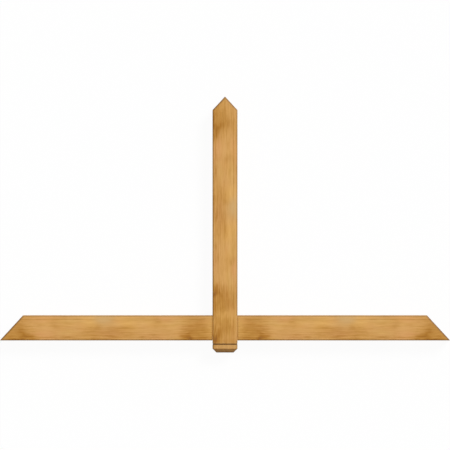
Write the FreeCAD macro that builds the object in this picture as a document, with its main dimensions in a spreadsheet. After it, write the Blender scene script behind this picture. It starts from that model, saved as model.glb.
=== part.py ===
"""Timber gable bracket: a king post with a half beam tenoned into each of its sides.

The bracket fills the peak of a gable. Its beam ends and the top of its post are cut to the
roof's pitch, so that four sloped faces lie on the two roof planes. It is made of three sawn
and planed timbers of one square section:

    king_post    runs from the peak to below the beams; its foot has a V-groove and a chamfer
                 worked round all four sides, and a mortise goes through it behind the joint
    left_beam    butts against the post's left side, with a stub tenon in the mortise
    right_beam   the same timber, made for the other hand

Every long arris and every arris of the sloped cuts is rounded over. The bracket lies on its
back: X runs along the beams, Y up the post, and Z from the back face to the show face. Each
timber is drawn from the gable's datum, the point of the post's centre line that is level with
the beams' underside, on the back face. Its Placement then puts the middle of the bracket's
outline over the origin. All sizes are millimetres.
"""

import FreeCAD, Part

import os

import Sketcher

SHEET = "Dimensions"

DRIVING_DIMENSIONS = {
    "bracket_width": 1828.8,  # between the tips of the beams, 6 ft
    "pitch_rise": 13.0,  # the roof climbs 13 for every 12 across
    "pitch_run": 12.0,
    "timber_face": 101.6,  # section across the show face, 4 in
    "timber_depth": 101.6,  # section from back face to show face
    "arris_radius": 4.8,  # round-over of the long arrises and sloped cuts
    "foot_drop": 49.2,  # how far the post runs on below the beams
    "foot_chamfer": 16.0,  # 45 degree chamfer round the bottom of the post
    "groove_drop": 15.2,  # middle of the V-groove, below the beams
    "groove_width": 5.2,
    "groove_depth": 3.2,
    "tenon_thickness": 34.0,  # a third of the timber's depth
    "tenon_height": 70.0,
    "tenon_gap": 3.0,  # left between the two tenons' ends, inside the post
    "glue_clearance": 0.2,  # between a tenon's cheek and the mortise's wall
}

HALF_FACE = f"{SHEET}.timber_face / 2"
TIP = f"{SHEET}.bracket_width / 2"
SLOPE = f"{SHEET}.pitch_rise / {SHEET}.pitch_run"
APEX = f"({TIP} * {SLOPE})"
SHOULDER = f"({APEX} - {HALF_FACE} * {SLOPE})"
OUTLINE_MIDDLE = f"(({APEX} - {SHEET}.foot_drop) / 2)"

LEFT = -1
RIGHT = 1
ORIGIN_POINT = (-1, 1)
HORIZONTAL_AXIS = -1
VERTICAL_AXIS = -2
LENGTH_TOLERANCE = 1e-6


def make_sheet(document):
    """Writes the driving dimensions in a spreadsheet, one alias to a row."""
    sheet = document.addObject("Spreadsheet::Sheet", SHEET)
    for row, (alias, size) in enumerate(DRIVING_DIMENSIONS.items(), start=1):
        sheet.set(f"A{row}", alias)
        sheet.set(f"B{row}", str(size))
        sheet.setAlias(f"B{row}", alias)
    document.recompute()
    return sheet


def make_body(document, name):
    """Makes an empty body that is drawn from the gable's datum."""
    body = document.addObject("PartDesign::Body", name)
    body.Label = name
    body.setExpression("Placement.Base.y", f"-{OUTLINE_MIDDLE}")
    return body


def make_sketch(body, name, plane_role, offset=None):
    """Makes a sketch on one of the body's own origin planes, or parallel to it at an offset."""
    planes = [feature for feature in body.Origin.OriginFeatures if feature.Role == plane_role]
    sketch = body.newObject("Sketcher::SketchObject", name)
    sketch.AttachmentSupport = (planes[0], [""])
    sketch.MapMode = "FlatFace"
    if offset:
        sketch.setExpression("AttachmentOffset.Base.z", offset)
    return sketch


def place_corner(sketch, line, coordinates):
    """Holds the start of a line at a pair of expressions, or on an axis where one of them is 0."""
    rules = (("DistanceX", VERTICAL_AXIS), ("DistanceY", HORIZONTAL_AXIS))
    for (distance, axis), expression in zip(rules, coordinates):
        if expression == "0":
            sketch.addConstraint(Sketcher.Constraint("PointOnObject", line, 1, axis))
            continue
        size = float(sketch.evalExpression(expression))
        rule = Sketcher.Constraint(distance, *ORIGIN_POINT, line, 1, size)
        name = f"{distance}{line}"
        sketch.renameConstraint(sketch.addConstraint(rule), name)
        sketch.setExpression(f"Constraints.{name}", expression)


def draw_outline(sketch, corners):
    """Draws a closed outline through corners that are pairs of expressions in the sketch's axes."""
    first = sketch.GeometryCount
    count = len(corners)
    points = [
        FreeCAD.Vector(*(float(sketch.evalExpression(value)) for value in corner), 0)
        for corner in corners
    ]
    for index, start in enumerate(points):
        sketch.addGeometry(Part.LineSegment(start, points[(index + 1) % count]), False)
    for index in range(count):
        joined = (first + index, 2, first + (index + 1) % count, 1)
        sketch.addConstraint(Sketcher.Constraint("Coincident", *joined))
    for index, corner in enumerate(corners):
        place_corner(sketch, first + index, corner)


def pad(body, sketch, length, name, reverse=False):
    """Pads a sketch by a length given as an expression."""
    feature = body.newObject("PartDesign::Pad", name)
    feature.Profile = sketch
    feature.Reversed = reverse
    feature.setExpression("Length", length)
    body.Document.recompute()
    return feature


def cut_right_through(body, sketch, name):
    """Cuts a sketch through the whole body, both ways from its plane, and proves that it cut."""
    before = body.Shape.Volume
    feature = body.newObject("PartDesign::Pocket", name)
    feature.Profile = sketch
    feature.Type = "ThroughAll"
    feature.Midplane = True
    body.Document.recompute()
    if not body.Shape.Volume < before:
        raise RuntimeError(f"{name} cuts nothing")
    return feature


def round_arrises(body, base, name, square_end=None):
    """Rounds over every arris that lies in the back or the show face.

    An edge that stands up from the back face is left, and so is one that lies in the square
    end at the given x, where the timber butts against the post.
    """
    arrises = []
    for number, edge in enumerate(base.Shape.Edges, start=1):
        box = edge.BoundBox
        if box.ZLength > LENGTH_TOLERANCE:
            continue
        if square_end is not None and abs(box.Center.x - square_end) < LENGTH_TOLERANCE:
            continue
        arrises.append(f"Edge{number}")
    feature = body.newObject("PartDesign::Fillet", name)
    feature.Base = (base, arrises)
    feature.setExpression("Radius", f"{SHEET}.arris_radius")
    body.Document.recompute()
    return feature


def foot_cut_outlines(near, far):
    """Gives the groove's and the chamfer's triangles on two opposite sides of the foot.

    Each corner is (across, along the post). near and far are the two sides' places across.
    """
    groove = f"-{SHEET}.groove_drop"
    half_width = f"{SHEET}.groove_width / 2"
    bottom = f"-{SHEET}.foot_drop"
    outlines = []
    for face, inward in ((near, "+"), (far, "-")):
        outlines.append(
            [
                (face, f"{groove} - {half_width}"),
                (f"{face} {inward} {SHEET}.groove_depth", groove),
                (face, f"{groove} + {half_width}"),
            ]
        )
        outlines.append(
            [
                (face, bottom),
                (f"{face} {inward} {SHEET}.foot_chamfer", bottom),
                (face, f"{bottom} + {SHEET}.foot_chamfer"),
            ]
        )
    return outlines


def cut_foot(body):
    """Works the V-groove and the chamfer round all four sides of the post's foot."""
    sides = make_sketch(body, "foot_cuts_on_the_sides", "XY_Plane")
    for outline in foot_cut_outlines(f"-{HALF_FACE}", HALF_FACE):
        draw_outline(sides, outline)
    cut_right_through(body, sides, "foot_sides")

    faces = make_sketch(body, "foot_cuts_on_the_faces", "YZ_Plane")
    for outline in foot_cut_outlines("0", f"{SHEET}.timber_depth"):
        draw_outline(faces, [(along, across) for across, along in outline])
    cut_right_through(body, faces, "foot_faces")


def cross_section(clearance):
    """Gives the tenon's section in (Y, Z), or the mortise's with its clearance all round."""
    half_height = f"({SHEET}.tenon_height / 2 + {clearance})"
    half_thickness = f"({SHEET}.tenon_thickness / 2 + {clearance})"
    middle_height = HALF_FACE
    middle_depth = f"{SHEET}.timber_depth / 2"
    return [
        (f"{middle_height} - {half_height}", f"{middle_depth} - {half_thickness}"),
        (f"{middle_height} + {half_height}", f"{middle_depth} - {half_thickness}"),
        (f"{middle_height} + {half_height}", f"{middle_depth} + {half_thickness}"),
        (f"{middle_height} - {half_height}", f"{middle_depth} + {half_thickness}"),
    ]


def make_king_post(document):
    """Makes the post: pointed at the roof's pitch, mortised, and moulded at its foot."""
    body = make_body(document, "king_post")
    outline = make_sketch(body, "post_outline", "XY_Plane")
    corners = [
        (f"-{HALF_FACE}", f"-{SHEET}.foot_drop"),
        (HALF_FACE, f"-{SHEET}.foot_drop"),
        (HALF_FACE, SHOULDER),
        ("0", APEX),
        (f"-{HALF_FACE}", SHOULDER),
    ]
    draw_outline(outline, corners)
    timber = pad(body, outline, f"{SHEET}.timber_depth", "post_timber")
    round_arrises(body, timber, "post_arrises")
    cut_foot(body)

    mortise = make_sketch(body, "mortise_section", "YZ_Plane")
    draw_outline(mortise, cross_section(f"{SHEET}.glue_clearance"))
    cut_right_through(body, mortise, "mortise")
    return body


def make_half_beam(document, name, side):
    """Makes the beam on one side of the post, from its tenon to its sloped end."""
    body = make_body(document, name)
    butt = f"{side} * {HALF_FACE}"
    outline = make_sketch(body, f"{name}_outline", "XY_Plane")
    corners = [
        (butt, "0"),
        (f"{side} * {TIP}", "0"),
        (f"{side} * ({TIP} - {SHEET}.timber_face / ({SLOPE}))", f"{SHEET}.timber_face"),
        (butt, f"{SHEET}.timber_face"),
    ]
    draw_outline(outline, corners)
    timber = pad(body, outline, f"{SHEET}.timber_depth", f"{name}_timber")
    square_end = float(outline.evalExpression(butt))
    round_arrises(body, timber, f"{name}_arrises", square_end)

    tenon = make_sketch(body, f"{name}_tenon_section", "YZ_Plane", butt)
    draw_outline(tenon, cross_section("0"))
    tenon_length = f"({SHEET}.timber_face - {SHEET}.tenon_gap) / 2"
    pad(body, tenon, tenon_length, f"{name}_tenon", reverse=side == RIGHT)
    return body


def check_document(document, bodies):
    """Stops if any object failed or a timber isn't one valid solid."""
    for item in document.Objects:
        if "Invalid" in item.State or "Error" in item.State:
            raise RuntimeError(f"{item.Label} failed: {item.State}")
    for body in bodies:
        shape = body.Shape
        if shape.isNull() or not shape.isValid() or len(shape.Solids) != 1:
            raise RuntimeError(f"{body.Label} isn't one valid solid")


def export_timbers(bodies):
    """Writes each timber to parts/NAME.step and prints its size."""
    os.makedirs("parts", exist_ok=True)
    for body in bodies:
        body.Shape.exportStep(f"parts/{body.Label}.step")
        box = body.Shape.BoundBox
        litres = body.Shape.Volume / 1e6
        size = f"{box.XLength:.1f} x {box.YLength:.1f} x {box.ZLength:.1f} mm"
        print(f"{body.Label}: {size}, {litres:.3f} litres, {len(body.Shape.Faces)} faces")


def main():
    """Builds the three timbers and writes them out."""
    document = FreeCAD.newDocument("timber_gable_bracket")
    make_sheet(document)
    bodies = [
        make_king_post(document),
        make_half_beam(document, "left_beam", LEFT),
        make_half_beam(document, "right_beam", RIGHT),
    ]
    document.recompute()
    check_document(document, bodies)
    export_timbers(bodies)


main()
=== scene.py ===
"""Looks for a timber gable bracket: a king post and two half beams, planed, sanded and honey stained.

The bracket lies on its back on a pale floor and the camera looks straight down on its show face.
Every size is in metres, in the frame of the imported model: X runs along the beams, Y runs up the king
post and Z runs from the plain back to the show face.

A place in the wood is given as a plank place: how far along the grain from the timber's outer end (a
beam's tip or the post's peak), how far across from its darker edge (a beam's underside or the post's
left side) and how deep under the show face.
"""

import logging
import math
from abc import ABC, abstractmethod
from dataclasses import dataclass
from enum import Enum

import bpy
import mathutils
import numpy as np
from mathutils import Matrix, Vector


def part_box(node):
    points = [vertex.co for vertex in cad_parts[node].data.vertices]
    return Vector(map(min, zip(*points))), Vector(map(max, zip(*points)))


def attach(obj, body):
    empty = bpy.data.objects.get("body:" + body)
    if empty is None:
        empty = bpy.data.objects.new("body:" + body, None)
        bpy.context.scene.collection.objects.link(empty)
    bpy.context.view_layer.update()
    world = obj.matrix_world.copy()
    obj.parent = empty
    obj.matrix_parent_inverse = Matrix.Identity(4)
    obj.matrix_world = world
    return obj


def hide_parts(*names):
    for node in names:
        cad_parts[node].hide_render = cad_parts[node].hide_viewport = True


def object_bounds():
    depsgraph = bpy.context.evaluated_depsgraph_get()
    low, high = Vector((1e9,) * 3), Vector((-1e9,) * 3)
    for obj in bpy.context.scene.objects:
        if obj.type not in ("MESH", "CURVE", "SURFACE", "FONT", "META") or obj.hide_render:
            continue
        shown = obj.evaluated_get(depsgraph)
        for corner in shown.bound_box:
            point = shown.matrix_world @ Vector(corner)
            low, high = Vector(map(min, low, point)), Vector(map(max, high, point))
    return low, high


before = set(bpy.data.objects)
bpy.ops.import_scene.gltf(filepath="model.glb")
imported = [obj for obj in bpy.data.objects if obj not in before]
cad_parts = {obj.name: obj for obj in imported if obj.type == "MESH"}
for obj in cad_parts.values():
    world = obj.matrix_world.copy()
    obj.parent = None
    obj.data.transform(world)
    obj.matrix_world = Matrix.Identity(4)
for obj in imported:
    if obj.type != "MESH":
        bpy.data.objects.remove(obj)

CAD_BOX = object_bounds()
BODY = "root"
BAKE_MAP = "OFBake"
# The attribute that darkens the edges, the groove and the foot with gathered stain and painted shade, and
# where below 0 brightens the seams with painted light.
STAIN_SHADE_AND_LIGHT_ATTRIBUTE = "stain_shade_and_light"
# How dark the free edges are made, with stain gathered along them and painted shade, the roof's
# rise over its run, and the share of the bracket's width that the camera takes in.
EDGE_STAIN_AND_SHADE = 0.47
ROOF_PITCH = 13 / 12
FRAMED_SHARE = 0.999

Vector3 = tuple[float, float, float]
Colour = tuple[float, float, float, float]
Span = tuple[float, float]
Socket = bpy.types.NodeSocket
Terms = tuple[tuple[str, float], ...]
Patterns = dict[str, Socket]
Pair = tuple[np.ndarray, np.ndarray]

log = logging.getLogger("gable_bracket")


# ---------------------------------------------------------------------------------------------------
# The figure of the wood, which the relief and the stain share
# ---------------------------------------------------------------------------------------------------


class MarkKind(Enum):
    """What a mark does to the wood around it."""

    KNOT = "darkens it and bends the growth rings"
    SHADE = "makes it darker or paler"
    GREY = "makes it paler and greyer"
    ROSE = "makes it pinker"
    GOLD = "makes it yellower"


@dataclass(frozen=True)
class Mark:
    """One soft-edged mark in the wood, strongest at its centre.

    Attributes:
        centre: how far along and across it is, on the show face.
        reach: how far it spreads along, across and deep, where it falls to about a third.
        strength: how strong it is at its centre; below 0 it darkens the wood.
        boxy: true for a mark that is flat and squarish with a clearer edge, not a bell.
    """

    centre: Span
    reach: Vector3
    strength: float
    boxy: bool = False

    def place(self) -> Vector3:
        """The plank place of the centre."""
        return (*self.centre, 0.0)


# The marks of the wood. All three timbers share them, and a beam ends before the last of them.
MARKS: dict[MarkKind, tuple[Mark, ...]] = {
    MarkKind.KNOT: (
        Mark((0.113, 0.017), (0.032, 0.009, 0.05), -0.18),
        Mark((0.754, 0.015), (0.028, 0.010, 0.05), -0.09),
        Mark((0.949, 0.014), (0.021, 0.015, 0.05), -0.25),
    ),
    MarkKind.SHADE: (
        Mark((0.092, 0.018), (0.012, 0.032, 0.05), -0.10),
        Mark((0.048, 0.024), (0.052, 0.052, 0.07), -0.14),
        Mark((0.090, 0.062), (0.028, 0.034, 0.05), -0.09),
        Mark((0.218, 0.069), (0.018, 0.013, 0.03), -0.09),
        Mark((0.292, 0.013), (0.028, 0.006, 0.02), -0.11),
        Mark((0.436, 0.030), (0.110, 0.030, 0.03), -0.065, True),
        Mark((0.386, 0.052), (0.022, 0.014, 0.02), -0.11),
        Mark((0.480, 0.034), (0.016, 0.012, 0.02), -0.06),
        Mark((0.510, 0.054), (0.040, 0.005, 0.02), -0.05, True),
        Mark((0.436, 0.020), (0.060, 0.003, 0.02), -0.08),
        Mark((0.430, 0.004), (0.055, 0.007, 0.02), -0.05),
        Mark((0.582, 0.015), (0.022, 0.004, 0.02), -0.15),
        Mark((0.641, 0.070), (0.018, 0.015, 0.03), -0.11),
        Mark((0.748, 0.036), (0.024, 0.022, 0.05), -0.09),
        Mark((0.770, 0.018), (0.008, 0.022, 0.05), -0.08),
        Mark((0.802, 0.050), (0.056, 0.060, 0.07), -0.19),
        Mark((0.920, 0.046), (0.048, 0.060, 0.07), -0.17),
        Mark((0.895, 0.064), (0.028, 0.008, 0.03), -0.04),
        Mark((0.096, 0.002), (0.062, 0.009, 0.05), -0.13, True),
        Mark((0.818, 0.002), (0.056, 0.010, 0.05), -0.14, True),
        Mark((0.440, 0.0855), (0.520, 0.0018, 0.01), -0.12, True),
        Mark((0.122, 0.060), (0.022, 0.018, 0.03), -0.07),
        Mark((0.490, 0.050), (0.028, 0.010, 0.02), -0.04),
        Mark((0.735, 0.003), (0.030, 0.008, 0.02), -0.08),
        Mark((0.745, 0.068), (0.020, 0.007, 0.02), -0.05),
        Mark((0.830, 0.068), (0.034, 0.006, 0.02), -0.05),
        Mark((0.868, 0.049), (0.030, 0.006, 0.02), -0.06),
        Mark((0.125, 0.024), (0.014, 0.006, 0.02), -0.05),
        Mark((0.205, 0.023), (0.030, 0.006, 0.02), -0.04),
        Mark((0.765, 0.098), (0.032, 0.004, 0.02), -0.07),
        Mark((0.973, 0.019), (0.014, 0.009, 0.02), -0.08),
        Mark((0.178, 0.056), (0.034, 0.036, 0.03), 0.08),
        Mark((0.298, 0.082), (0.034, 0.018, 0.03), 0.08),
        Mark((0.360, 0.080), (0.034, 0.022, 0.03), 0.12, True),
        Mark((0.512, 0.080), (0.046, 0.022, 0.03), 0.10, True),
        Mark((0.588, 0.078), (0.036, 0.022, 0.03), 0.07),
        Mark((0.700, 0.065), (0.036, 0.045, 0.03), 0.09),
        Mark((0.855, 0.050), (0.012, 0.045, 0.03), 0.08),
        Mark((0.070, 0.008), (0.018, 0.004, 0.02), 0.06),
        Mark((0.280, 0.054), (0.032, 0.018, 0.03), 0.07),
        Mark((0.428, 0.031), (0.034, 0.005, 0.02), 0.06),
        Mark((0.382, 0.006), (0.018, 0.004, 0.02), 0.06),
        Mark((0.788, 0.082), (0.036, 0.008, 0.02), 0.07),
        Mark((0.800, 0.008), (0.028, 0.004, 0.02), 0.08),
        Mark((0.838, 0.041), (0.034, 0.005, 0.02), 0.07),
        Mark((0.913, 0.030), (0.014, 0.010, 0.02), 0.09),
        Mark((0.960, 0.032), (0.012, 0.012, 0.02), 0.06),
        Mark((0.136, 0.010), (0.014, 0.004, 0.02), 0.05),
        Mark((0.268, 0.087), (0.030, 0.005, 0.02), 0.05),
        Mark((0.759, 0.028), (0.018, 0.006, 0.02), 0.06),
        Mark((0.920, 0.023), (0.014, 0.006, 0.02), 0.08),
        Mark((0.920, 0.072), (0.016, 0.006, 0.02), 0.05),
        Mark((0.977, 0.050), (0.021, 0.070, 0.20), -0.09, True),
    ),
    MarkKind.GREY: (
        Mark((0.424, 0.084), (0.037, 0.024, 0.02), 0.74),
        Mark((0.983, 0.050), (0.012, 0.070, 0.20), 0.32, True),
        Mark((1.004, 0.050), (0.0065, 0.070, 0.20), 0.30, True),
    ),
    MarkKind.ROSE: (
        Mark((0.183, 0.020), (0.045, 0.022, 0.03), 0.70),
        Mark((0.436, 0.028), (0.050, 0.022, 0.03), 0.40),
        Mark((0.638, 0.008), (0.050, 0.014, 0.03), 0.70),
        Mark((0.678, 0.085), (0.030, 0.018, 0.03), 0.50),
        Mark((0.178, 0.092), (0.050, 0.014, 0.03), 0.60),
    ),
    MarkKind.GOLD: (
        Mark((0.048, 0.020), (0.070, 0.045, 0.05), 1.00),
        Mark((0.120, 0.004), (0.030, 0.012, 0.02), 0.80),
        Mark((0.370, 0.066), (0.045, 0.034, 0.03), 0.80),
        Mark((0.516, 0.064), (0.042, 0.034, 0.03), 0.95),
        Mark((0.740, 0.004), (0.030, 0.012, 0.02), 0.80),
        Mark((0.800, 0.020), (0.055, 0.045, 0.05), 0.90),
        Mark((0.895, 0.040), (0.060, 0.055, 0.05), 0.90),
    ),
}


@dataclass(frozen=True)
class Figure:
    """Growth rings of the timbers, which all three share as boards of one tree do.

    Attributes:
        pith_across: where the pith runs, measured across the timber.
        pith_deep: how deep it runs, which is outside the wood behind its back.
        ring_pitch: thickness of one year's growth.
        sway: how far the pith swings across and deep as it runs along.
        sway_length: length over which it swings once.
        knot_bend: how many rings a knot pushes aside at its centre.
    """

    pith_across: float = -0.055
    pith_deep: float = 0.105
    ring_pitch: float = 0.0058
    sway: Span = (0.003, 0.003)
    sway_length: float = 0.62
    knot_bend: float = 0.6

    def ring_count(self, plank: np.ndarray) -> np.ndarray:
        """Counts the growth rings between the pith and each place.

        The pith swings by a sine across and by a cosine deep as it runs along. The distance from it,
        across and deep only, is divided by the ring pitch, and each knot adds its bend, which falls
        with the square of the distance in reaches as exp(-q q).

        Args:
            plank: plank places, one row each.

        Returns:
            The number of rings, with its fraction.
        """
        turn = 2 * np.pi * plank[:, 0] / self.sway_length
        across = plank[:, 1] - self.pith_across - self.sway[0] * np.sin(turn)
        deep = plank[:, 2] - self.pith_deep - self.sway[1] * np.cos(turn)
        count = np.hypot(across, deep) / self.ring_pitch
        for knot in MARKS[MarkKind.KNOT]:
            reaches = (plank - knot.place()) / knot.reach
            count = count + self.knot_bend * np.exp(-(reaches**2).sum(axis=1))
        return count

    def furrow(self, plank: np.ndarray) -> np.ndarray:
        """Depth of the soft early wood under the hard late wood, from 0 to 1.

        It is half of one plus the cosine of the ring count in whole turns, squared, so that the hard
        bands stay broad and the furrows between them are narrow.

        Args:
            plank: plank places, one row each.

        Returns:
            The depth at each place.
        """
        return (0.5 + 0.5 * np.cos(2 * np.pi * self.ring_count(plank))) ** 2


def swell(points: np.ndarray, lengths: Vector3, seed: int, count: int = 9) -> np.ndarray:
    """A smooth random swell: a sum of sine waves, each with a random direction, length and phase.

    Args:
        points: places, one row each.
        lengths: the shortest wavelength along each axis.
        seed: fixes the random draws.
        count: how many sines are added up.

    Returns:
        One value for each place, between 0 and 1.
    """
    draws = np.random.default_rng(seed)
    turns = draws.uniform(-1.0, 1.0, (count, 3)) * 2 * np.pi / np.array(lengths)
    phases = draws.uniform(0.0, 2 * np.pi, count)
    return 0.5 + 0.5 * np.sin(points @ turns.T + phases).mean(axis=1)


# ---------------------------------------------------------------------------------------------------
# The skin of a timber
# ---------------------------------------------------------------------------------------------------


def spaced_lines(stops: list[float], step: float) -> np.ndarray:
    """Grid lines that pass through every stop and are at most one step apart in between.

    Args:
        stops: positions that need a line of their own, in rising order.
        step: the widest gap between two lines.

    Returns:
        The positions of all lines, in rising order.
    """
    slack = 1e-6
    stretches = [
        np.linspace(low, high, max(1, math.ceil((high - low) / step - slack)) + 1)[:-1]
        for low, high in zip(stops[:-1], stops[1:])
    ]
    return np.concatenate([*stretches, stops[-1:]])


def round_trip(columns: int, rows: int) -> Pair:
    """Walks once round the rim of a grid, anticlockwise, without repeating a corner.

    Args:
        columns: number of grid lines in the first direction.
        rows: number of grid lines in the second direction.

    Returns:
        The column number and the row number of each rim point in turn.
    """
    along, up = np.arange(columns - 1), np.arange(rows - 1)
    far, top = np.full(rows - 1, columns - 1), np.full(columns - 1, rows - 1)
    column = np.concatenate([along, far, along[::-1] + 1, up * 0])
    row = np.concatenate([along * 0, up, top, up[::-1] + 1])
    return column, row


class Lane(Enum):
    """Cells of the bake map as left, bottom, right and top: four long lanes and four end cells."""

    SHOW_FACE = (0.005, 0.755, 0.865, 0.995)
    BACK = (0.005, 0.505, 0.865, 0.745)
    LONG_SIDE = (0.005, 0.255, 0.865, 0.495)
    OTHER_LONG_SIDE = (0.005, 0.005, 0.865, 0.245)
    OUTER_END = (0.875, 0.755, 0.995, 0.995)
    INNER_END = (0.875, 0.505, 0.995, 0.745)
    JOINT_WALLS = (0.875, 0.255, 0.995, 0.495)
    JOINT_END = (0.875, 0.005, 0.995, 0.245)


@dataclass
class Patch:
    """One smooth stretch of a timber's skin.

    Attributes:
        grid: vertex numbers; the first direction crossed with the second points out of the wood.
        lane: the stretch's cell on the bake map.
        gap: rows and columns of quads that are left open, because the joint starts there.
    """

    grid: np.ndarray
    lane: Lane
    gap: tuple[slice, slice] | None = None

    def quads(self, values: np.ndarray) -> np.ndarray:
        """Gathers a value from the four corners of each quad, in their order round the quad.

        Args:
            values: an array whose first two axes match the grid.

        Returns:
            The values with the shape (quads, 4, ...).
        """
        corners = np.stack([values[:-1, :-1], values[1:, :-1], values[1:, 1:], values[:-1, 1:]], axis=2)
        kept = np.ones(corners.shape[:2], bool)
        if self.gap is not None:
            kept[self.gap] = False
        return corners[kept]

    def unrolled(self, points: np.ndarray) -> np.ndarray:
        """Unrolls the stretch onto its lane: a grid line lies at its mean distance along the skin.

        Args:
            points: the places of all vertices.

        Returns:
            A place on the bake map for each corner of each quad, with the shape (quads, 4, 2).
        """
        places = points[self.grid]
        left, bottom, right, top = self.lane.value
        first = np.linalg.norm(np.diff(places, axis=0), axis=2).mean(axis=1).cumsum()
        second = np.linalg.norm(np.diff(places, axis=1), axis=2).mean(axis=0).cumsum()
        run = left + (right - left) * np.concatenate([[0.0], first / first[-1]])
        rise = bottom + (top - bottom) * np.concatenate([[0.0], second / second[-1]])
        return self.quads(np.stack(np.meshgrid(run, rise, indexing="ij"), axis=2))


class Edge(Enum):
    """The four stretches of a timber's outline, in the order in which the rim passes them."""

    LOW = 0
    RIGHT = 1
    HIGH = 2
    LEFT = 3


class Skin:
    """The closed surface of one timber, gathered patch by patch.

    Its two faces are the timber's outline drawn in by the arris radius. Its rim is a stack of loops
    round the outline, whose inset and height follow the timber's rim profile. The first and the last
    loop are the rims of the faces themselves, so the skin has no seams.
    """

    def __init__(self, timber: "Timber") -> None:
        """Lays out the faces and the rim.

        Args:
            timber: the timber whose skin this is.
        """
        first, second = timber.face_lines()
        insets, heights = timber.rim_profile()
        column, row = round_trip(len(first), len(second))
        face_x, face_y = timber.outline(first[:, None], second[None, :], np.array(timber.arris))
        rim_x, rim_y = timber.outline(first[column][:, None], second[row][:, None], insets[1:-1])
        back = np.dstack([face_x, face_y, np.zeros_like(face_x)])
        front = back + [0.0, 0.0, timber.depth]
        rim = np.dstack([rim_x, rim_y, np.broadcast_to(heights[1:-1], rim_x.shape)])
        self.blocks: list[np.ndarray] = []
        self.weights: list[np.ndarray] = []
        self.stain_shade_and_light_blocks: list[np.ndarray] = []
        self.patches: list[Patch] = []
        near_edge = np.zeros(face_x.shape)
        near_edge[column, row] = timber.edge_nearness(insets[:1], heights[:1])
        back_grid = self.add_points(back, stain_shade_and_light=near_edge)
        front_grid = self.add_points(front, stain_shade_and_light=near_edge)
        round_share = np.broadcast_to(timber.arris_weight(insets[1:-1]), rim_x.shape)
        edge_share = np.broadcast_to(timber.edge_nearness(insets[1:-1], heights[1:-1]), rim_x.shape)
        rim_grid = self.add_points(rim, round_share, edge_share)
        ring = np.column_stack([back_grid[column, row], rim_grid, front_grid[column, row]])
        if timber.upright:
            front_grid, back_grid = front_grid.T[:, ::-1], back_grid.T
        else:
            back_grid = back_grid[:, ::-1]
        self.patches += [Patch(front_grid, Lane.SHOW_FACE), Patch(back_grid, Lane.BACK)]
        starts = np.cumsum([0, len(first) - 1, len(second) - 1, len(first) - 1, len(second) - 1])
        self.walls = {}
        for edge in Edge:
            numbers = np.arange(starts[edge.value], starts[edge.value + 1] + 1) % len(ring)
            self.walls[edge] = Patch(ring[numbers], timber.wall_lane(edge))
        self.patches += self.walls.values()

    def add_points(
        self, points: np.ndarray, weights: np.ndarray | None = None, stain_shade_and_light: np.ndarray | None = None
    ) -> np.ndarray:
        """Adds vertices.

        Args:
            points: their places, in an array whose last axis holds X, Y and Z.
            weights: how much of an arris each is, or nothing where none is.
            stain_shade_and_light: how near an edge each is, or nothing where none is.

        Returns:
            Their numbers, in the shape of the array without its last axis.
        """
        start = sum(len(block) for block in self.blocks)
        shape = points.shape[:-1]
        self.blocks.append(points.reshape(-1, 3))
        self.weights.append(np.zeros(math.prod(shape)) if weights is None else weights.ravel())
        self.stain_shade_and_light_blocks.append(np.zeros(math.prod(shape)) if stain_shade_and_light is None else stain_shade_and_light.ravel())
        return start + np.arange(math.prod(shape)).reshape(shape)

    def points(self) -> np.ndarray:
        """The places of all vertices."""
        return np.concatenate(self.blocks)

    def open_wall(self, edge: Edge, run: Span, levels: Span) -> np.ndarray:
        """Opens a rectangle in one of the end or side walls, where a joint starts.

        Args:
            edge: the wall, which runs along Y.
            run: where the rectangle starts and ends in Y.
            levels: where it starts and ends above the back.

        Returns:
            The vertex numbers that the rectangle covers, its first direction following the wall's.
        """
        wall = self.walls[edge]
        places = self.points()[wall.grid]
        middle = places.shape[1] // 2
        slack = 1e-7
        inside_run = (places[:, middle, 1] > run[0] - slack) & (places[:, middle, 1] < run[1] + slack)
        inside_levels = (places[0, :, 2] > levels[0] - slack) & (places[0, :, 2] < levels[1] + slack)
        rows, columns = np.flatnonzero(inside_run), np.flatnonzero(inside_levels)
        wall.gap = (slice(rows[0], rows[-1]), slice(columns[0], columns[-1]))
        return wall.grid[rows[0] : rows[-1] + 1, columns[0] : columns[-1] + 1]

    def add_tube(self, near: np.ndarray, far: np.ndarray, steps: int) -> None:
        """Joins the rims of two equal grids by straight walls.

        Args:
            near: vertex numbers where the walls start.
            far: vertex numbers where they end, each point opposite its like.
            steps: rows of quads between the two.
        """
        column, row = round_trip(*near.shape)
        start, end = near[column, row], far[column, row]
        points = self.points()
        share = np.linspace(0, 1, steps + 1)[1:-1, None]
        between = points[start][:, None] + share * (points[end] - points[start])[:, None]
        loops = np.column_stack([start, self.add_points(between), end])
        self.patches.append(Patch(np.vstack([loops, loops[:1]]), Lane.JOINT_WALLS))


# ---------------------------------------------------------------------------------------------------
# The timbers
# ---------------------------------------------------------------------------------------------------


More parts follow.
